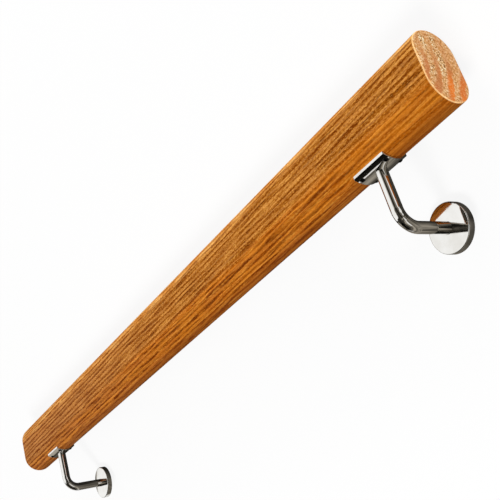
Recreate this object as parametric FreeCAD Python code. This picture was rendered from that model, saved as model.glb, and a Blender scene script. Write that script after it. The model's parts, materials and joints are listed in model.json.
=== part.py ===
import FreeCAD, Part

import math
import os

# Wall handrail: one length of obround oak on two bent-bar wall brackets.
# It is drawn as it hangs on a wall, then laid on its back as it lies on a floor.
# Hung: X along the rail, +Y towards the wall, +Z up, origin on the rail's axis at mid length.
# All sizes are millimetres and degrees.

# Rail
RAIL_LENGTH = 1050.0
RAIL_WIDTH = 48.5
RAIL_HEIGHT = 76.5
RAIL_END_ROUNDING = 1.2

# Where the brackets stand
BRACKET_INSET = 102.0  # rail end to post axis
WALL_DISTANCE = 65.0  # rail axis to wall

# Arm: one round bar with one bend
BAR_DIAMETER = 12.0
BEND_RADIUS = 18.0  # on the bar's axis
ARM_DROP = 59.3  # rail underside to the axis of the level leg

# Saddle: a curved plate under the rail
SADDLE_LENGTH = 44.0
SADDLE_WIDTH = 30.0
SADDLE_THICKNESS = 2.0
SADDLE_CORNER = 1.5  # seen from below
SADDLE_EDGE_ROUNDING = 0.5  # along the outer face
SCREW_END_MARGIN = 5.0  # screw axis to the plate's end
SCREW_SIDE_MARGIN = 5.8  # screw axis to the plate's side, at its outer face

# Saddle screws
SCREW_DIAMETER = 3.0
SCREW_LENGTH = 16.0
SCREW_TIP = 3.0
SCREW_HEAD_DIAMETER = 5.6
SCREW_HEAD_SINK = 0.15  # head's rim below the plate's face
SCREW_HEAD_RISE = 1.4  # crown above the head's rim
RECESS_SPAN = 3.2
RECESS_WIDTH = 0.8
RECESS_DEPTH = 1.2

# Wall flange and its cover
COVER_DIAMETER = 49.0
COVER_DEPTH = 7.5  # wall to the front edge of its rim
COVER_DOME = 1.6  # rise of its face from the rim to the middle
COVER_WALL = 1.0
COVER_EDGE_ROUNDING = 0.8
FLANGE_THICKNESS = 3.0
WALL_HOLE_DIAMETER = 5.0
WALL_HOLE_CIRCLE = 32.0
WALL_HOLE_COUNT = 3

# Clearances on the radius
HOLE_CLEARANCE = 0.15  # screw in the saddle
PILOT_CLEARANCE = 0.05  # screw in the rail
COVER_CLEARANCE = 0.15  # cover round the bar and round the flange

# Worked out from the sizes above
arcRadius = RAIL_WIDTH / 2
arcCentre = RAIL_HEIGHT / 2 - arcRadius  # height of the upper arc's centre; the lower one is mirrored
saddleRadius = arcRadius + SADDLE_THICKNESS
barRadius = BAR_DIAMETER / 2
armHeight = -RAIL_HEIGHT / 2 - ARM_DROP
coverRadius = COVER_DIAMETER / 2
domeRadius = (coverRadius**2 + COVER_DOME**2) / (2 * COVER_DOME)
flangeRadius = coverRadius - COVER_WALL - COVER_CLEARANCE
flangeFront = WALL_DISTANCE - FLANGE_THICKNESS
screwFace = saddleRadius - SCREW_HEAD_SINK  # from the lower arc's axis: head and countersink touch
crownRadius = ((SCREW_HEAD_DIAMETER / 2) ** 2 + SCREW_HEAD_RISE**2) / (2 * SCREW_HEAD_RISE)
screwReach = SADDLE_LENGTH / 2 - SCREW_END_MARGIN  # post axis to screw axis, along the rail
screwLean = math.asin((SADDLE_WIDTH / 2 - SCREW_SIDE_MARGIN) / saddleRadius)  # off the rail's lowest line
overcut = 1.0  # how far a cutting tool runs past what it cuts
near = 0.01  # a spot this close to a surface counts as on it

alongX = FreeCAD.Vector(1, 0, 0)
towardsWall = FreeCAD.Vector(0, 1, 0)
up = FreeCAD.Vector(0, 0, 1)


def point(x, y, z):
    return FreeCAD.Vector(x, y, z)


def rodAlongX(radius, height, x0, x1):
    """A round rod parallel to the rail, its axis above or below the rail's axis."""
    return Part.makeCylinder(radius, x1 - x0, point(x0, 0, height), alongX)


def railBlank():
    """The obround section run along X, its end edges rounded over."""
    left = -RAIL_LENGTH / 2
    a = point(left, -arcRadius, -arcCentre)
    b = point(left, -arcRadius, arcCentre)
    c = point(left, arcRadius, arcCentre)
    d = point(left, arcRadius, -arcCentre)
    top = point(left, 0, RAIL_HEIGHT / 2)
    bottom = point(left, 0, -RAIL_HEIGHT / 2)
    edges = [
        Part.makeLine(a, b),
        Part.Arc(b, top, c).toShape(),
        Part.makeLine(c, d),
        Part.Arc(d, bottom, a).toShape(),
    ]
    blank = Part.Face(Part.Wire(edges)).extrude(alongX * RAIL_LENGTH)
    endEdges = [e for e in blank.Edges if e.BoundBox.XLength < RAIL_END_ROUNDING]
    return blank.makeFillet(RAIL_END_ROUNDING, endEdges)


def screwPlaces(postX):
    """Where each saddle screw's axis meets the rail's lower arc axis, and its outward direction."""
    places = []
    for alongSign in (-1, 1):
        for sideSign in (-1, 1):
            outward = point(0, sideSign * math.sin(screwLean), -math.cos(screwLean))
            centre = point(postX + alongSign * screwReach, 0, -arcCentre)
            places.append((centre, outward))
    return places


def countersunkTool(radius, headRadius, length, overrun):
    """A drill on -Z with a 45 degree countersink, drawn with the countersink's mouth at z = 0."""
    outline = [
        point(0, 0, overrun),
        point(headRadius, 0, overrun),
        point(headRadius, 0, 0),
        point(radius, 0, radius - headRadius),
        point(radius, 0, -length),
        point(0, 0, -length),
    ]
    profile = Part.Face(Part.makePolygon(outline + [outline[0]]))
    return profile.revolve(point(0, 0, 0), up, 360)


def screwBlank():
    """A pointed screw on -Z with a crowned 45 degree head, drawn with the head's rim at z = 0."""
    radius = SCREW_DIAMETER / 2
    headRadius = SCREW_HEAD_DIAMETER / 2
    halfway = headRadius / 2
    crownTop = point(0, 0, SCREW_HEAD_RISE)
    crownMiddle = point(halfway, 0, SCREW_HEAD_RISE - crownRadius + math.sqrt(crownRadius**2 - halfway**2))
    outline = [
        point(headRadius, 0, 0),
        point(radius, 0, radius - headRadius),
        point(radius, 0, SCREW_TIP - SCREW_LENGTH),
        point(0, 0, -SCREW_LENGTH),
        crownTop,
    ]
    edges = [Part.Arc(crownTop, crownMiddle, outline[0]).toShape()]
    edges += [Part.makeLine(a, b) for a, b in zip(outline, outline[1:])]
    return Part.Face(Part.Wire(edges)).revolve(point(0, 0, 0), up, 360)


def placed(shape, centre, outward, distance):
    """Stand a shape drawn on +Z at a distance from a centre, pointing outward."""
    moved = shape.copy()
    turn = FreeCAD.Rotation(up, outward)
    moved.Placement = FreeCAD.Placement(centre + outward * distance, turn)
    return moved


def outerEdges(plate):
    """A saddle blank's edges that lie wholly on its outer face."""
    found = []
    for edge in plate.Edges:
        places = [edge.valueAt(t) for t in edge.ParameterRange]
        if all(abs(math.hypot(p.y, p.z + arcCentre) - saddleRadius) < near for p in places):
            found.append(edge)
    return found


def saddle(postX):
    """The curved plate under the rail, with four countersunk screw holes."""
    x0 = postX - SADDLE_LENGTH / 2
    x1 = postX + SADDLE_LENGTH / 2
    tube = rodAlongX(saddleRadius, -arcCentre, x0, x1).cut(
        rodAlongX(arcRadius, -arcCentre, x0 - overcut, x1 + overcut)
    )
    blankHeight = arcCentre + saddleRadius
    blank = Part.makeBox(
        SADDLE_LENGTH,
        SADDLE_WIDTH,
        blankHeight,
        point(x0, -SADDLE_WIDTH / 2, -arcCentre - blankHeight),
    )
    corners = [e for e in blank.Edges if abs(e.BoundBox.ZLength - blankHeight) < 1e-6]
    blank = blank.makeFillet(SADDLE_CORNER, corners)
    plate = tube.common(blank)
    plate = plate.makeFillet(SADDLE_EDGE_ROUNDING, outerEdges(plate))
    holeRadius = SCREW_DIAMETER / 2 + HOLE_CLEARANCE
    mouthRadius = SCREW_HEAD_DIAMETER / 2 + SCREW_HEAD_SINK
    drill = countersunkTool(holeRadius, mouthRadius, SCREW_LENGTH, overcut)
    for centre, outward in screwPlaces(postX):
        plate = plate.cut(placed(drill, centre, outward, saddleRadius))
    return plate.Solids[0]


def screw(centre, outward):
    """A raised countersunk wood screw with a cross recess."""
    body = screwBlank()
    floor = SCREW_HEAD_RISE - RECESS_DEPTH
    for along, across in ((RECESS_SPAN, RECESS_WIDTH), (RECESS_WIDTH, RECESS_SPAN)):
        slot = Part.makeBox(along, across, RECESS_DEPTH + overcut, point(-along / 2, -across / 2, floor))
        body = body.cut(slot)
    return placed(body, centre, outward, screwFace).Solids[0]


def rail():
    """The oak rail with a pilot hole for each saddle screw."""
    body = railBlank()
    pilotRadius = SCREW_DIAMETER / 2 + PILOT_CLEARANCE
    depth = SCREW_LENGTH + overcut
    for postX in postPlaces.values():
        for centre, outward in screwPlaces(postX):
            start = centre + outward * (screwFace - depth)
            body = body.cut(Part.makeCylinder(pilotRadius, depth + overcut, start, outward))
    return body.Solids[0]


def arm(postX):
    """The bent bar: down from the saddle, one quarter bend, then level to the wall flange."""
    bendStart = point(postX, 0, armHeight + BEND_RADIUS)
    bendEnd = point(postX, BEND_RADIUS, armHeight)
    rise = BEND_RADIUS * (1 - math.sqrt(0.5))
    bendMiddle = point(postX, rise, armHeight + rise)
    topEnd = point(postX, 0, -arcCentre)
    wallEnd = point(postX, flangeFront, armHeight)
    path = Part.Wire(
        [
            Part.makeLine(topEnd, bendStart),
            Part.Arc(bendStart, bendMiddle, bendEnd).toShape(),
            Part.makeLine(bendEnd, wallEnd),
        ]
    )
    section = Part.Wire([Part.makeCircle(barRadius, topEnd, up)])
    bar = path.makePipeShell([section], True, False)
    coping = rodAlongX(saddleRadius, -arcCentre, postX - BAR_DIAMETER, postX + BAR_DIAMETER)
    return bar.cut(coping).Solids[0]


def domeFront(radius, fromAxis):
    """How far in front of the wall a dome about the arm's axis stands, at a distance from that axis."""
    centre = domeRadius - COVER_DOME - COVER_DEPTH  # behind the wall
    return math.sqrt(radius**2 - fromAxis**2) - centre


def domeArc(radius, r0, r1):
    """The dome's outline between two distances from the arm's axis, drawn with the wall at y = 0."""
    spots = [point(r, -domeFront(radius, r), 0) for r in (r0, (r0 + r1) / 2, r1)]
    return Part.Arc(*spots).toShape(), spots[0], spots[2]


def onRim(spot):
    """Whether a point of a cover drawn with the wall at y = 0 is on the front edge of its rim."""
    return abs(math.hypot(spot.x, spot.z) - coverRadius) < near and abs(spot.y + COVER_DEPTH) < near


def cover(postX):
    """The domed round cap over the wall flange, with a hole for the bar."""
    boreRadius = barRadius + COVER_CLEARANCE
    inner = coverRadius - COVER_WALL
    face, faceBore, faceRim = domeArc(domeRadius, boreRadius, coverRadius)
    lining, liningRim, liningBore = domeArc(domeRadius - COVER_WALL, inner, boreRadius)
    outline = [
        face,
        Part.makeLine(faceRim, point(coverRadius, 0, 0)),
        Part.makeLine(point(coverRadius, 0, 0), point(inner, 0, 0)),
        Part.makeLine(point(inner, 0, 0), liningRim),
        lining,
        Part.makeLine(liningBore, faceBore),
    ]
    cap = Part.Face(Part.Wire(outline)).revolve(point(0, 0, 0), towardsWall, 360)
    rim = [e for e in cap.Edges if onRim(e.valueAt(e.FirstParameter)) and onRim(e.valueAt(e.LastParameter))]
    cap = cap.makeFillet(COVER_EDGE_ROUNDING, rim)
    cap.translate(point(postX, WALL_DISTANCE, armHeight))
    return cap.Solids[0]


def flange(postX):
    """The wall plate at the arm's end, hidden by its cover."""
    centre = point(postX, flangeFront, armHeight)
    plate = Part.makeCylinder(flangeRadius, FLANGE_THICKNESS, centre, towardsWall)
    for i in range(WALL_HOLE_COUNT):
        angle = math.radians(90 + 360 * i / WALL_HOLE_COUNT)
        offset = point(math.cos(angle), 0, math.sin(angle)) * (WALL_HOLE_CIRCLE / 2)
        start = centre + offset - towardsWall * overcut
        length = FLANGE_THICKNESS + 2 * overcut
        plate = plate.cut(Part.makeCylinder(WALL_HOLE_DIAMETER / 2, length, start, towardsWall))
    return plate.Solids[0]


def restTurn():
    """Angle about X that lays the rail's upper back arc and the covers' upper rims on one level plane."""
    rimY = WALL_DISTANCE
    rimZ = armHeight + coverRadius - arcCentre  # from the upper arc's centre
    reach = math.hypot(rimY, rimZ)
    plane = math.atan2(rimZ, rimY) + math.acos(arcRadius / reach)
    return -90 - math.degrees(plane)


postPlaces = {
    "left": -RAIL_LENGTH / 2 + BRACKET_INSET,
    "right": RAIL_LENGTH / 2 - BRACKET_INSET,
}

nodes = {"rail": rail()}
for side, postX in postPlaces.items():
    nodes[side + "_saddle"] = saddle(postX)
    nodes[side + "_arm"] = arm(postX)
    nodes[side + "_flange"] = flange(postX)
    nodes[side + "_cover"] = cover(postX)
    for number, (centre, outward) in enumerate(screwPlaces(postX), start=1):
        nodes[side + "_screw_" + str(number)] = screw(centre, outward)

# Lay it down, then put the origin under the middle of its box.
lieDown = FreeCAD.Placement(point(0, 0, 0), FreeCAD.Rotation(alongX, restTurn()))
for shape in nodes.values():
    shape.Placement = lieDown.multiply(shape.Placement)
box = Part.makeCompound(list(nodes.values())).optimalBoundingBox(False, False)
toOrigin = point(-(box.XMin + box.XMax) / 2, -(box.YMin + box.YMax) / 2, -box.ZMin)

os.makedirs("parts", exist_ok=True)
for name, shape in nodes.items():
    shape.translate(toOrigin)
    if not shape.isValid():
        raise ValueError(name + " is not a valid solid")
    shape.exportStep("parts/" + name + ".step")
    print(name, "volume", round(shape.Volume / 1000, 2), "cm3")

print("turned by", round(restTurn(), 3), "degrees, then moved by", [round(v, 3) for v in toOrigin])
print("box", [round(v, 2) for v in (box.XLength, box.YLength, box.ZLength)], "mm")
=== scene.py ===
import json
import math

import bmesh
import bpy
from mathutils import Euler, Matrix, Vector


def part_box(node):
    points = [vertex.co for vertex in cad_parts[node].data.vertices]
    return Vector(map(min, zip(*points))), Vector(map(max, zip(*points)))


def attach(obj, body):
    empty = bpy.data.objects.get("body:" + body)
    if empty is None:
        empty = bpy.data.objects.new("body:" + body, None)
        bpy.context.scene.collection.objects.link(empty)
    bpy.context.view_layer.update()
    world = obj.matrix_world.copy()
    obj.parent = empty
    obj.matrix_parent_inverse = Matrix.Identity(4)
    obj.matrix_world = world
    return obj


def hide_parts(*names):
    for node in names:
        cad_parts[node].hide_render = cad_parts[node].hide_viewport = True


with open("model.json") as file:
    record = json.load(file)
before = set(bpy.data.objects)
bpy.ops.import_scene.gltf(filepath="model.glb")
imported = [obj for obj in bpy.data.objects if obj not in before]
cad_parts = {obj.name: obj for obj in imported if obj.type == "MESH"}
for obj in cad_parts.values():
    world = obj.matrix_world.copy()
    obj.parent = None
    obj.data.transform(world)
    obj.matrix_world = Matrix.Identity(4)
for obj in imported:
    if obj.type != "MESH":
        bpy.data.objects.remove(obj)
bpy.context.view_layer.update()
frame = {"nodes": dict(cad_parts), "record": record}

# A wall handrail: one length of obround oak on two polished steel wall brackets.
# It lies on its back on the floor. Shapes and patterns are worked out as it hangs on a wall,
# X along the rail, Y towards the wall, Z up, from the rail's axis at mid length, in metres.
scene = bpy.context.scene
nodes = frame["nodes"]
railWay = Vector((1, 0, 0))
wallWay = Vector(frame["record"]["mounts"][0]["axis"]).normalized()
skyWay = railWay.cross(wallWay)
railCentre = (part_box("rail")[0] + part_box("rail")[1]) / 2
lieDown = Matrix((railWay, wallWay, skyWay)).transposed().to_4x4()
lieDown.translation = railCentre
hangUp = lieDown.inverted()
hungTurn = math.atan2(wallWay.z, wallWay.y)  # about X, from hung to lying


def hungBox(name):
    # A node's lowest and highest corner as it hangs.
    spots = [hangUp @ vertex.co for vertex in nodes[name].data.vertices]
    low = Vector(min(spot[i] for spot in spots) for i in range(3))
    high = Vector(max(spot[i] for spot in spots) for i in range(3))
    return low, high


def srgb(text):
    # "b8742e" to the linear colour that Blender mixes.
    parts = [int(text[i:i + 2], 16) / 255 for i in (0, 2, 4)]
    return tuple(c / 12.92 if c <= 0.04045 else ((c + 0.055) / 1.055) ** 2.4 for c in parts) + (1.0,)


class Wire:
    # One output socket. A Python expression with it adds Math nodes.
    def __init__(self, sheet, socket):
        self.sheet = sheet
        self.socket = socket

    def maths(self, operation, *others):
        return self.sheet.maths(operation, self, *others)

    def larger(self, other):
        return self.maths("MAXIMUM", other)

    def __add__(self, other):
        return self.maths("ADD", other)

    def __radd__(self, other):
        return self.sheet.maths("ADD", other, self)

    def __sub__(self, other):
        return self.maths("SUBTRACT", other)

    def __rsub__(self, other):
        return self.sheet.maths("SUBTRACT", other, self)

    def __mul__(self, other):
        return self.maths("MULTIPLY", other)

    def __rmul__(self, other):
        return self.sheet.maths("MULTIPLY", other, self)

    def __truediv__(self, other):
        return self.maths("DIVIDE", other)

    def __mod__(self, other):
        return self.maths("FLOORED_MODULO", other)

    def __abs__(self):
        return self.maths("ABSOLUTE")


class Sheet:
    # The node sheet of a material or a world.
    def __init__(self, owner):
        self.owner = owner
        owner.use_nodes = True
        self.tree = owner.node_tree
        self.tree.nodes.clear()

    def add(self, kind, settings=None, inputs=None, out=0):
        # Settings come first, then each input's value or link. Gives the wanted output.
        node = self.tree.nodes.new(kind)
        for name, value in (settings or {}).items():
            if name == "stops":
                self.setStops(node.color_ramp, value)
            else:
                setattr(node, name, value)
        for key, value in (inputs or {}).items():
            if isinstance(value, Wire):
                self.tree.links.new(value.socket, node.inputs[key])
            else:
                node.inputs[key].default_value = value
        return Wire(self, node.outputs[out]) if len(node.outputs) else node

    def setStops(self, ramp, stops):
        # The ramp's first stop is kept and moved, and the others are new.
        while len(ramp.elements) > 1:
            ramp.elements.remove(ramp.elements[-1])
        ramp.elements[0].position = stops[0][0]
        ramp.elements[0].color = srgb(stops[0][1])
        for position, colour in stops[1:]:
            ramp.elements.new(position).color = srgb(colour)

    def maths(self, operation, *values):
        return self.add("ShaderNodeMath", {"operation": operation}, dict(enumerate(values)))

    def objectSpot(self):
        return self.add("ShaderNodeTexCoord", out="Object")

    def hung(self, turn=(0, 0, 0)):
        # Object coordinates as the part hangs, with a further turn for the pattern.
        settings = {"vector_type": "TEXTURE"}
        lying = {"Vector": self.objectSpot(), "Location": railCentre, "Rotation": (hungTurn, 0, 0)}
        upright = self.add("ShaderNodeMapping", settings, lying)
        return self.add("ShaderNodeMapping", settings, {"Vector": upright, "Rotation": turn})

    def split(self, vector):
        node = self.add("ShaderNodeSeparateXYZ", inputs={0: vector}).socket.node
        return [Wire(self, output) for output in node.outputs]

    def noise(self, vector, stretch, detail=2.0, roughness=0.5):
        # Stretch is how many lumps to the metre each way.
        spot = self.add("ShaderNodeVectorMath", {"operation": "MULTIPLY"}, {0: vector, 1: stretch})
        inputs = {"Vector": spot, "Scale": 1.0, "Detail": detail, "Roughness": roughness}
        return self.add("ShaderNodeTexNoise", inputs=inputs)

    def fade(self, value, start, end, low=0.0, high=1.0):
        # Runs smoothly from low to high while the value goes from start to end.
        inputs = {"Value": value, "From Min": start, "From Max": end, "To Min": low, "To Max": high}
        return self.add("ShaderNodeMapRange", {"interpolation_type": "SMOOTHSTEP"}, inputs)

    def band(self, value, low, high, soft):
        # 1 between low and high, with soft ends.
        return self.fade(value, low - soft, low + soft) * self.fade(value, high + soft, high - soft)

    def ramp(self, value, stops):
        return self.add("ShaderNodeValToRGB", {"stops": stops}, {"Fac": value})

    def mix(self, factor, first, second, blend="MIX"):
        settings = {"data_type": "RGBA", "blend_type": blend}
        return self.add("ShaderNodeMix", settings, {0: factor, 6: first, 7: second}, out=2)

    def bump(self, height, strength, distance):
        inputs = {"Height": height, "Strength": strength, "Distance": distance}
        return self.add("ShaderNodeBump", inputs=inputs)

    def rays(self, *kinds):
        # 1 for rays of any of these kinds, 0 for others.
        path = self.add("ShaderNodeLightPath").socket.node
        total = Wire(self, path.outputs[kinds[0]])
        for kind in kinds[1:]:
            total = total.larger(Wire(self, path.outputs[kind]))
        return total

    def surface(self, inputs):
        self.output(self.add("ShaderNodeBsdfPrincipled", inputs=inputs))
        return self.owner

    def output(self, shader):
        self.add("ShaderNodeOutputMaterial", inputs={"Surface": shader})


def newSheet(name):
    return Sheet(bpy.data.materials.new(name))


# Camera: as the rail hangs, it looks up from in front and below, beyond the right end.
cameraView = {
    "place": (0.873074, -0.065790, 0.664193),
    "turn": (-27.63812, 39.49588, -49.12266),
    "lens": 60.095,
    "sensor": 36,
}


def makeCamera():
    lens = bpy.data.cameras.new("photoView")
    lens.sensor_width = cameraView["sensor"]
    lens.lens = cameraView["lens"]
    lens.clip_start = 0.01
    camera = bpy.data.objects.new("photoView", lens)
    camera.location = cameraView["place"]
    camera.rotation_euler = Euler([math.radians(angle) for angle in cameraView["turn"]])
    scene.collection.objects.link(camera)
    scene.camera = camera


makeCamera()
print("camera made")


# Oak: wide growth rings curve about a pith in front of the rail, so the long faces are flat-sawn.
# Tones are stops: the value of a mix of noises, and its colour.
oakRail = {
    "grainSlope": -0.6,  # degrees, of the streaks to the rail
    "pith": (-0.075, 0.012),  # the rings' centre, across and up
    "ringWidth": 0.0133,
    "ringShift": 0.25,  # rings
    "lineSpacing": 0.0064,  # of the long dark lines
    "lineLean": 2.5,  # lines, from the middle to a face; twice this is a whole number
    "sideTones": ((0.38, "582a00"), (0.46, "8e4e08"), (0.53, "a96619"), (0.61, "d09040")),
    "underTones": ((0.41, "622400"), (0.47, "a04800"), (0.53, "bc620a"), (0.60, "e6983a")),
    "endTones": ((0.37, "683a16"), (0.43, "cf965a"), (0.54, "edbc80"), (0.61, "fff4d0")),
    "underside": (-0.0165, -0.0245),  # heights between which the side turns golden
    "paintedTopHighlight": (0.0165, 0.0215),  # heights between which the top takes a painted highlight
    "calmEnd": (0.34, 0.44),  # along the rail, where the underside's dark lines grow weak
    "endRounding": 0.0012,
    "endSteps": 5,
    "roundSteps": 40,
}


def makeOak():
    look = oakRail
    railHigh = hungBox("rail")[1]
    sheet = newSheet("oak")
    spot = sheet.hung((0, math.radians(look["grainSlope"]), 0))
    x, y, z = sheet.split(spot)

    # Growth rings: pale and full of pores, then darker, smooth late wood, then a sharp edge.
    across = y - look["pith"][0]
    up = z - look["pith"][1]
    radius = (across * across + up * up).maths("SQRT")
    wander = (sheet.noise(spot, (3, 30, 30), 2) - 0.5) * 0.7
    ragged = (sheet.noise(spot, (30, 330, 330), 2, 0.6) - 0.5) * 0.35
    ring = (radius / look["ringWidth"] + wander + ragged + look["ringShift"]) % 1.0
    late = sheet.fade(ring, 0.5, 0.8) * sheet.fade(ring, 1.0, 0.92)

    # Long dark lines that waver and break off, fine lines between them, and short pores.
    # Below mid height the lines lean the other way, and meet without a step on both faces.
    lean = look["lineLean"] * look["lineSpacing"] / railHigh.y
    waver = sheet.noise(spot, (4, 45, 45), 1) * 1.5 + sheet.noise(spot, (14, 160, 160), 1) * 0.8
    waver = waver + sheet.noise(spot, (42, 240, 240), 1) * 0.4
    wave = (z + y * z.maths("SIGN") * lean) / look["lineSpacing"] + waver
    thin = ((wave * 2.2 + waver) * (2 * math.pi)).maths("SINE")
    wave = (wave * (2 * math.pi)).maths("SINE")
    strong = sheet.fade(sheet.noise(spot, (12, 190, 190), 1), 0.34, 0.56, 0.48, 1.0)
    broken = sheet.fade(sheet.noise(spot, (80, 330, 330), 1), 0.32, 0.54, 0.45, 1.0)
    broad = sheet.noise(spot, (5, 40, 40), 1)
    golden = sheet.fade(z + (broad - 0.5) * 0.02, *look["underside"])
    short = sheet.fade(sheet.noise(spot, (38, 240, 240), 1), 0.4, 0.6)
    calm = golden * sheet.fade(x, *look["calmEnd"])
    dark = sheet.fade(wave, -0.15, 0.95) * strong * broken * (1.0 - golden * (1.0 - short) * 0.6)
    dark = dark.larger(sheet.fade(thin, 0.1, 1.0) * (1.15 - strong) * 0.75)
    dark = dark * (1.0 - calm * 0.4)
    pale = sheet.fade(wave, 0.1, -0.95)
    fine = sheet.noise(spot, (24, 520, 520), 1)
    pore = sheet.noise(spot, (230, 750, 750), 1)
    fleck = sheet.noise(spot, (420, 950, 950), 1)
    stroke = sheet.noise(spot, (13, 480, 480), 1)
    streak = fine * 0.5 + pore * 0.4 + broad * 0.1

    # The long faces: brown sides, a golden underside, a painted highlight along the top, and painted
    # shade towards the wall.
    face = sheet.ramp(streak, look["sideTones"])
    face = sheet.mix(pale * 0.5, face, srgb("cb8946"))
    face = sheet.mix(late * 0.35, face, srgb("c26b08"))
    under = sheet.ramp(fine * 0.35 + pore * 0.17 + stroke * 0.48, look["underTones"])
    face = sheet.mix(golden * 0.75, face, under)
    face = sheet.mix(golden * pale * 0.5, face, srgb("da822a"))
    face = sheet.mix(sheet.fade(x, 0.1, -0.45) * 0.35, face, srgb("b37648"))
    patch = sheet.fade(sheet.noise(spot, (22, 130, 130), 2), 0.4, 0.62)
    face = sheet.mix(golden * patch * 0.3, face, srgb("dc861e"))
    # Painted highlight: the top band is lightened, in patches, where light falls along the upper edge.
    paintedHighlight = sheet.mix(patch, srgb("e29240"), srgb("f8b968"))
    face = sheet.mix(sheet.fade(z, *look["paintedTopHighlight"]) * (0.45 + patch * 0.3), face, paintedHighlight)
    depth = golden * 0.3 + sheet.fade(x, 0.15, -0.4, 0.76, 1.0)
    face = sheet.mix(dark * depth, face, srgb("6c2c00"))
    face = sheet.mix(calm * 0.25, face, srgb("c06c10"))
    flecked = 1.0 - golden * 0.55
    face = sheet.mix(sheet.fade(fleck, 0.48, 0.32, 0.0, 0.5) * flecked, face, srgb("703200"))
    face = sheet.mix(sheet.fade(fleck, 0.55, 0.7, 0.0, 0.35) * flecked, face, srgb("e6a650"))
    # Painted shade: the half towards the wall is darkened, standing in for the shade it sits in.
    face = sheet.mix(sheet.fade(y, -0.013, -0.003, 0.0, 0.5), face, srgb("703410"))

    # The sawn ends: cream, with dark open pores in the porous wood and rust-brown late wood.
    speck = sheet.noise(spot, (300, 720, 720), 1, 0.6)
    end = sheet.ramp(speck, look["endTones"])
    smooth = sheet.fade(ring, 0.35, 0.6) * 0.6
    smooth = smooth.larger(sheet.fade(broad, 0.45, 0.62) * 0.5)
    smooth = smooth.larger(sheet.fade(z, 0.0, -0.03) * 0.5)
    smooth = smooth.larger(sheet.fade(y, 0.002, 0.013) * 0.6)
    smooth = smooth.larger(sheet.fade(z, 0.02, 0.032) * 0.6)
    end = sheet.mix(smooth, end, srgb("e4a060"))
    vivid = sheet.fade(z, -0.006, -0.026) * sheet.fade(y, -0.012, 0.0)
    lateEnd = sheet.mix(vivid, srgb("c37a48"), srgb("ef7a22"))
    lateEnd = sheet.mix(sheet.fade(broad, 0.42, 0.62, 0.0, 0.5), lateEnd, srgb("cc6c3c"))
    lateEnd = sheet.mix(sheet.fade(speck, 0.45, 0.65, 0.0, 0.35), lateEnd, srgb("f0b070"))
    wide = sheet.fade(z, 0.01, -0.03, 0.0, 0.25) + (sheet.noise(spot, (20, 110, 110), 1) - 0.5) * 0.4
    lateShare = sheet.fade(ring + wide, 0.5, 0.85) * sheet.fade(ring, 1.0, 0.88)
    end = sheet.mix(lateShare * sheet.fade(z, 0.018, -0.014, 0.25, 0.9), end, lateEnd)

    # The rounded edge takes a pale line, a painted highlight, and the sawn wood starts on it.
    past = abs(sheet.split(sheet.hung())[0]) - (railHigh.x - look["endRounding"])
    colour = sheet.mix(sheet.fade(past, 0.0002, 0.0008), face, end)
    # Painted highlight along the rounded edge.
    edge = sheet.fade(past, -0.0003, 0.0002) * sheet.fade(past, 0.0012, 0.0007)
    colour = sheet.mix(edge * 0.7, colour, srgb("fccf90"))

    return sheet.surface({
        "Base Color": colour,
        "Roughness": sheet.fade(streak, 0.4, 0.6, 0.6, 0.45) + dark * 0.1,
        "Specular IOR Level": 0.04,
        "Normal": sheet.bump(streak - dark * 0.3, 0.3, 0.0005),
    })


# Metals: the two tones that each runs between, and the ripple of a bent bar
metalLook = {
    "polished": (srgb("e9e8e5"), srgb("dedcd7")),
    "turned": (srgb("b9b8b4"), srgb("a3a29e")),
    "screw": (srgb("141416"), srgb("2b2a29")),
    "bendMiddle": (-0.002, 0.009),  # across, and above the level bar's axis
    "bendRipple": 12,  # times the plain bar's
}


# Steel polished to a mirror, with faint hand marks, and rippled where the bars are bent.
def makePolishedSteel():
    sheet = newSheet("polishedSteel")
    spot = sheet.hung()
    y, z = sheet.split(spot)[1:]
    smear = sheet.noise(spot, (55, 55, 55), 3, 0.6)
    ripple = sheet.noise(spot, (140, 140, 140), 1)
    armLow, armHigh = hungBox("left_arm")
    barHeight = armLow.z + (armHigh.x - armLow.x) / 2
    bendAcross, bendAbove = metalLook["bendMiddle"]
    fromBend = abs(y - bendAcross) + abs(z - (barHeight + bendAbove))
    atBend = sheet.fade(fromBend, 0.016, 0.007) * metalLook["bendRipple"]
    ripple = ripple + sheet.noise(spot, (260, 260, 260), 1) * atBend
    return sheet.surface({
        "Base Color": sheet.mix(sheet.fade(smear, 0.35, 0.7), *metalLook["polished"]),
        "Metallic": 1.0,
        "Roughness": sheet.fade(smear, 0.4, 0.75, 0.03, 0.10),
        "Normal": sheet.bump(ripple, 0.12, 0.0003),
    })


# The flange behind the cover is left as it was turned.
def makeTurnedSteel():
    sheet = newSheet("turnedSteel")
    spot = sheet.hung()
    grainy = sheet.noise(spot, (900, 900, 900), 2)
    return sheet.surface({
        "Base Color": sheet.mix(sheet.noise(spot, (60, 60, 60), 2), *metalLook["turned"]),
        "Metallic": 1.0,
        "Roughness": sheet.fade(grainy, 0.3, 0.7, 0.28, 0.42),
        "Normal": sheet.bump(grainy, 0.1, 0.0001),
    })


def makeScrewBlack():
    sheet = newSheet("screwBlack")
    mottle = sheet.noise(sheet.hung(), (1200, 1200, 1200), 2)
    return sheet.surface({
        "Base Color": sheet.mix(mottle, *metalLook["screw"]),
        "Metallic": 0.9,
        "Roughness": sheet.fade(mottle, 0.3, 0.7, 0.3, 0.5),
    })


oak = makeOak()
polishedSteel = makePolishedSteel()
turnedSteel = makeTurnedSteel()
screwBlack = makeScrewBlack()
print("finishes made")


meshing = {
    "sameSpot": 1e-6,  # corners nearer than this become one
    "sharpFrom": 40,  # degrees between two faces
}


def vertsOf(items):
    return [item for item in items if isinstance(item, bmesh.types.BMVert)]


def edgesOf(items):
    return [item for item in items if isinstance(item, bmesh.types.BMEdge)]


def tidyFaces(bm):
    bmesh.ops.remove_doubles(bm, verts=bm.verts, dist=meshing["sameSpot"])
    bmesh.ops.recalc_face_normals(bm, faces=bm.faces)


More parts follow.
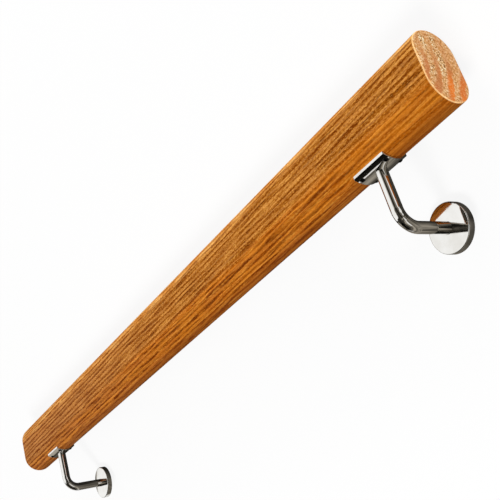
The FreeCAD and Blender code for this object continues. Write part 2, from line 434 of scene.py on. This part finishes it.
def sweep(bm, items, centre, axis, angle, steps):
    # Sweeps corners or edges round an axis. Gives what they end as.
    swept = bmesh.ops.spin(
        bm, geom=items, cent=centre, axis=axis, angle=angle, steps=steps, use_merge=False,
    )
    return swept["geom_last"]


def roundOff(bm, items, kind, radius, steps):
    bmesh.ops.bevel(
        bm, geom=items, offset=radius, offset_type="OFFSET", affect=kind,
        segments=steps, profile=0.5, material=-1,
    )


def newObject(bm, name, material):
    mesh = bpy.data.meshes.new(name)
    bm.to_mesh(mesh)
    bm.free()
    mesh.materials.append(material)
    piece = bpy.data.objects.new(name, mesh)
    scene.collection.objects.link(piece)
    return piece


def newPiece(bm, name, finish, replaced):
    # Lays a shape built as it hangs down on the floor, and puts it in its node's place.
    tidyFaces(bm)
    bmesh.ops.transform(bm, matrix=lieDown, verts=bm.verts)
    piece = newObject(bm, name, finish)
    piece.data.shade_smooth()
    piece.data.set_sharp_from_angle(angle=math.radians(meshing["sharpFrom"]))
    flatten = piece.modifiers.new("flatten", "WEIGHTED_NORMAL")
    flatten.keep_sharp = True
    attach(piece, "root")
    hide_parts(replaced)


# Rail: the obround section is drawn at the left end and pulled out to the right end.
def makeRail():
    low, high = hungBox("rail")
    radius = high.y
    arcCentre = high.z - radius
    halfRound = ((1, 0, 0), -math.pi, oakRail["roundSteps"])
    bm = bmesh.new()
    start = bmesh.ops.create_vert(bm, co=(low.x, -radius, arcCentre))["vert"][0]
    tip = vertsOf(sweep(bm, [start], (low.x, 0, arcCentre), *halfRound))[0]
    tip = bmesh.ops.extrude_vert_indiv(bm, verts=[tip])["verts"][0]
    tip.co.z = -arcCentre
    tip = vertsOf(sweep(bm, [tip], (low.x, 0, -arcCentre), *halfRound))[0]
    bmesh.ops.contextual_create(bm, geom=[tip, start])
    section = bmesh.ops.contextual_create(bm, geom=bm.edges[:])["faces"]
    grown = bmesh.ops.extrude_face_region(bm, geom=section, use_keep_orig=True)["geom"]
    bmesh.ops.translate(bm, verts=vertsOf(grown), vec=(high.x - low.x, 0, 0))
    endEdges = [edge for edge in bm.edges if edge.verts[0].co.x == edge.verts[1].co.x]
    roundOff(bm, endEdges, "EDGES", oakRail["endRounding"], oakRail["endSteps"])
    newPiece(bm, "oak_rail", oak, "rail")


# Arm: a round bar, straight down from the saddle, a quarter bend, then level to the wall
armShape = {"around": 48, "bendRadius": 0.018, "bendSteps": 28}


def stretchRing(bm, ring, way):
    # Extrudes an open ring of edges and moves the new ring. Gives the new ring's edges.
    grown = bmesh.ops.extrude_edge_only(bm, edges=ring)["geom"]
    moved = vertsOf(grown)
    bmesh.ops.translate(bm, verts=moved, vec=way)
    return [edge for edge in edgesOf(grown) if all(vert in moved for vert in edge.verts)]


def makeArm(side):
    low, high = hungBox(side + "_arm")
    railHigh = hungBox("rail")[1]
    arcCentre = railHigh.y - railHigh.z  # of the rail's underside
    saddleBottom = hungBox(side + "_saddle")[0].z
    saddleRadius = arcCentre - saddleBottom
    postX = (low.x + high.x) / 2
    radius = (high.x - low.x) / 2
    bendRadius = armShape["bendRadius"]
    bendTop = low.z + radius + bendRadius
    bm = bmesh.new()
    bmesh.ops.create_circle(
        bm, cap_ends=False, segments=armShape["around"], radius=radius,
        matrix=Matrix.Translation((postX, 0, saddleBottom)),
    )
    topRing = bm.verts[:]
    ring = stretchRing(bm, bm.edges[:], (0, 0, bendTop - saddleBottom))
    ring = ring + list(dict.fromkeys(vert for edge in ring for vert in edge.verts))
    bent = sweep(bm, ring, (postX, bendRadius, bendTop), (1, 0, 0), math.pi / 2, armShape["bendSteps"])
    ring = stretchRing(bm, edgesOf(bent), (0, high.y - bendRadius, 0))
    bmesh.ops.contextual_create(bm, geom=ring)
    for vert in topRing:  # coped to the saddle's curve
        vert.co.z = arcCentre - math.sqrt(saddleRadius**2 - vert.co.y**2)
    topEdges = [edge for edge in bm.edges if edge.verts[0] in topRing and edge.verts[1] in topRing]
    bmesh.ops.contextual_create(bm, geom=topEdges)
    newPiece(bm, side + "_bent_bar", polishedSteel, side + "_arm")


# Cover: a thin domed cap that slides along the arm to the wall
coverShape = {
    "around": 128,
    "dome": 0.0016,
    "domeSteps": 16,
    "wall": 0.001,
    "rounding": 0.0008,
    "roundingSteps": 5,
    "clearance": 0.00015,
}


def makeCover(side):
    low, high = hungBox(side + "_cover")
    armLow, armHigh = hungBox(side + "_arm")
    shape = coverShape
    radius = (high.x - low.x) / 2
    middle = Vector(((low.x + high.x) / 2, high.y, (low.z + high.z) / 2))
    bore = (armHigh.x - armLow.x) / 2 + shape["clearance"]
    domeRadius = (radius**2 + shape["dome"]**2) / (2 * shape["dome"])
    boreTurn = math.asin(bore / domeRadius)
    rimTurn = math.asin(radius / domeRadius)
    boreDepth = domeRadius * math.cos(boreTurn)
    domeCentre = Vector((middle.x, low.y + boreDepth, middle.z))
    bm = bmesh.new()
    spot = domeCentre + Vector((bore, -boreDepth, 0))
    first = bmesh.ops.create_vert(bm, co=spot)["vert"]
    rim = vertsOf(sweep(bm, first, domeCentre, (0, 0, 1), rimTurn - boreTurn, shape["domeSteps"]))
    back = bmesh.ops.extrude_vert_indiv(bm, verts=rim)["verts"][0]
    back.co.y = middle.y
    roundOff(bm, rim, "VERTICES", shape["rounding"], shape["roundingSteps"])
    bmesh.ops.spin(
        bm, geom=bm.verts[:] + bm.edges[:], cent=middle, axis=(0, 1, 0),
        angle=2 * math.pi, steps=shape["around"], use_merge=True,
    )
    tidyFaces(bm)
    outwards = sum(face.normal.dot(face.calc_center_median() - middle) for face in bm.faces)
    if outwards < 0:
        bmesh.ops.reverse_faces(bm, faces=bm.faces)
    bmesh.ops.solidify(bm, geom=bm.faces[:], thickness=shape["wall"])
    newPiece(bm, side + "_domed_cover", polishedSteel, side + "_cover")


makeRail()
for side in ("left", "right"):
    makeArm(side)
    makeCover(side)

otherFinishes = {"rail": oak, "screw": screwBlack, "flange": turnedSteel}
for name, node in nodes.items():
    matching = [finish for word, finish in otherFinishes.items() if word in name]
    for entry in node.material_slots:
        entry.material = matching[0] if matching else polishedSteel
print("pieces made")


# Floor, light, and the dim room that only the steel mirrors
studio = {
    "floorWidth": 12.0,
    "floorShadow": 0.12,  # share of the floor's look that takes shadow
    "shadowFade": (2.0, 0.8944),  # distances out between which the floor starts to take it
    "roomRadius": 2.6,
    "roomSteps": 96,
    "dimLift": 0.0002,  # of the dim floor over the white one
    "roomTint": (1.0, 0.90, 0.75, 1),
    "worldStrength": 0.24,
}
whiteFor = ("Is Camera Ray", "Is Glossy Ray", "Is Transmission Ray")


def newStage(bm, name, material):
    piece = newObject(bm, name, material)
    return piece


def mirroredOnly(piece):
    piece.visible_camera = False
    piece.visible_diffuse = False
    piece.visible_shadow = False
    piece.visible_transmission = False


def makeFloor():
    sheet = newSheet("floorWhite")
    seen = sheet.rays(*whiteFor)
    shade = sheet.mix(sheet.rays("Is Diffuse Ray"), srgb("f4f4f4"), srgb("7c7c7c"))
    matt = sheet.add("ShaderNodeBsdfDiffuse", inputs={"Color": shade})
    glow = sheet.add("ShaderNodeEmission", inputs={"Color": (1, 1, 1, 1), "Strength": 1.0})
    x, y = sheet.split(sheet.objectSpot())[:2]
    start, end = studio["shadowFade"]
    near = sheet.fade(x * x + y * y, start**2, end**2)
    share = seen * (1.0 - near * studio["floorShadow"])
    sheet.output(sheet.add("ShaderNodeMixShader", inputs={0: share, 1: matt, 2: glow}))
    bm = bmesh.new()
    bmesh.ops.create_grid(bm, x_segments=1, y_segments=1, size=studio["floorWidth"] / 2)
    newStage(bm, "floor", sheet.owner)


def dimGlow(sheet, tone):
    grey = sheet.add("ShaderNodeCombineColor", inputs={0: tone, 1: tone, 2: tone})
    warm = sheet.mix(1.0, grey, studio["roomTint"], "MULTIPLY")
    tinted = sheet.mix(sheet.fade(tone, 0.3, 0.9), warm, grey)
    sheet.output(sheet.add("ShaderNodeEmission", inputs={"Color": tinted}))


# Patches of the room's wall in degrees: start, end and soft edge of the turn, then of the rise
roomPatches = {
    "whitePanel": ((-44, -6, 3), (15, 31, 3)),
    "paleLine": ((-140, -104, 3), (6, 11.5, 1.5)),
    "leftGrey": ((-176, -149, 4), (4, 27, 3)),
    "wallGrey": ((-96, -30, 5), (7, 19, 4)),
    "highGlow": ((-100, -16, 8), (24, 52, 8)),
    "topGlow": ((-70, 60, 15), (46, 66, 6)),
}


def makeRoom():
    # A dark ceiling, dim walls, and pale patches where the steel shows them.
    sheet = newSheet("dimRoom")
    spot = sheet.objectSpot()
    x, y, z = sheet.split(spot)
    turn = y.maths("ARCTAN2", x) * (180 / math.pi)
    rise = (z / studio["roomRadius"]).maths("ARCSINE") * (180 / math.pi)

    def patch(name):
        turns, rises = roomPatches[name]
        return sheet.band(turn, *turns) * sheet.band(rise, *rises)

    cloudy = sheet.noise(spot, (1.6, 1.6, 2.5), 2)
    blotch = sheet.fade(sheet.noise(spot, (5, 5, 7), 2), 0.5, 0.62)
    tone = sheet.fade(rise, 22, 34, 0.15, 0.012) * sheet.fade(cloudy, 0.3, 0.7, 0.6, 1.4)
    tone = tone + sheet.fade(rise, 38, 46) * blotch * 0.09
    overLine = sheet.band(turn, *roomPatches["paleLine"][0]) * sheet.fade(rise, 11, 13.5)
    whiteSide = sheet.fade(turn, 55, 92)
    lowStrip = sheet.band(turn, 2, 37, 3) * sheet.fade(rise, 16, 10)
    darkFoot = sheet.fade(rise, 9, 5) * sheet.fade(abs(turn), 125, 140)
    tone = tone * (1.0 - overLine * 0.95)
    tone = tone.larger(whiteSide * 1.08)
    tone = tone.larger(patch("whitePanel"))
    tone = tone.larger(lowStrip)
    tone = tone.larger(patch("paleLine"))
    tone = tone * (1.0 - darkFoot * 0.9)
    tone = tone.larger(patch("leftGrey") * 0.45)
    tone = tone.larger(patch("wallGrey") * 0.42)
    tone = tone.larger(patch("highGlow") * sheet.fade(turn, -78, -28, 0.03, 0.45))
    tone = tone + patch("topGlow") * 0.03
    dimGlow(sheet, tone)
    bm = bmesh.new()
    steps = studio["roomSteps"]
    bmesh.ops.create_uvsphere(bm, u_segments=steps, v_segments=steps // 2, radius=studio["roomRadius"])
    mirroredOnly(newStage(bm, "dimRoom", sheet.owner))


def makeDimFloor():
    # Dim by the rail and to the left, and pale past both ends; the dimness by the rail and the darkest
    # spots about the covers are painted shadow.
    sheet = newSheet("dimFloor")
    spot = sheet.objectSpot()
    x, y = sheet.split(spot)[:2]
    coverSpot = (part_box("right_cover")[0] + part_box("right_cover")[1]) / 2
    cloudy = sheet.noise(spot, (9, 9, 9), 2)
    # Painted shadow: darker by the rail.
    tone = sheet.fade(x, -0.15, 0.25, 0.12, 0.25) * sheet.fade(y, -0.02, -0.08, 0.2, 1.0)
    tone = tone * sheet.fade(cloudy, 0.3, 0.7, 0.5, 1.5)
    coverShadowDistance = abs(abs(x) - coverSpot.x) + abs(y - coverSpot.y)
    darkStrip = sheet.fade(x, 0.40, 0.43) * sheet.fade(x, 0.474, 0.460)
    darkStrip = darkStrip * sheet.band(y, -0.2, -0.06, 0.01)
    paleLeft = sheet.band(x, -0.62, -0.44, 0.03) * sheet.band(y, -0.3, -0.07, 0.03)
    whiteRight = sheet.fade(x, 0.5, 0.75) * sheet.fade(y, -0.01, 0.06)
    # Painted shadow: darkest about the covers.
    tone = tone * sheet.fade(coverShadowDistance, 0.036, 0.06, 0.3, 1.0)
    tone = tone * (1.0 - darkStrip * 0.7)
    tone = tone + paleLeft * 0.6
    tone = tone.larger(whiteRight)
    dimGlow(sheet, tone)
    bm = bmesh.new()
    bmesh.ops.create_circle(
        bm, cap_ends=True, segments=studio["roomSteps"], radius=studio["roomRadius"],
    )
    bmesh.ops.translate(bm, verts=bm.verts, vec=(0, 0, studio["dimLift"]))
    mirroredOnly(newStage(bm, "dimFloor", sheet.owner))


# Lamps: place, the spot each aims at, width in metres, and power in watts
lamps = {
    "topLamp": ((0.2, 2.2, 0.3), (0.1, 0, 0), 0.9, 60),
    "lowLamp": ((0.0, -1.5, 2.0), (0, 0, 0), 1.0, 45),
    "endLamp": ((2.3, 0.0, 0.35), (0.4, 0, 0), 1.0, 27),
    "farEndLamp": ((-2.3, 0.0, 0.3), (-0.4, 0, 0), 0.6, 18),
}


def areaLamp(name, place, aim, width, power):
    lamp = bpy.data.lights.new(name, "AREA")
    lamp.shape = "DISK"
    lamp.size = width
    lamp.energy = power
    light = bpy.data.objects.new(name, lamp)
    light.location = place
    light.rotation_euler = (Vector(aim) - Vector(place)).to_track_quat("-Z", "Y").to_euler()
    light.visible_glossy = False
    scene.collection.objects.link(light)


def makeLight():
    scene.world = bpy.data.worlds.new("studio")
    sheet = Sheet(scene.world)
    strength = sheet.fade(sheet.rays(*whiteFor), 0, 1, studio["worldStrength"], 1.0)
    glow = sheet.add("ShaderNodeBackground", inputs={"Color": (1, 1, 1, 1), "Strength": strength})
    sheet.add("ShaderNodeOutputWorld", inputs={"Surface": glow})
    for name, values in lamps.items():
        areaLamp(name, *values)


makeFloor()
makeRoom()
makeDimFloor()
makeLight()
scene.view_settings.view_transform = "Standard"
print("floor and light made")
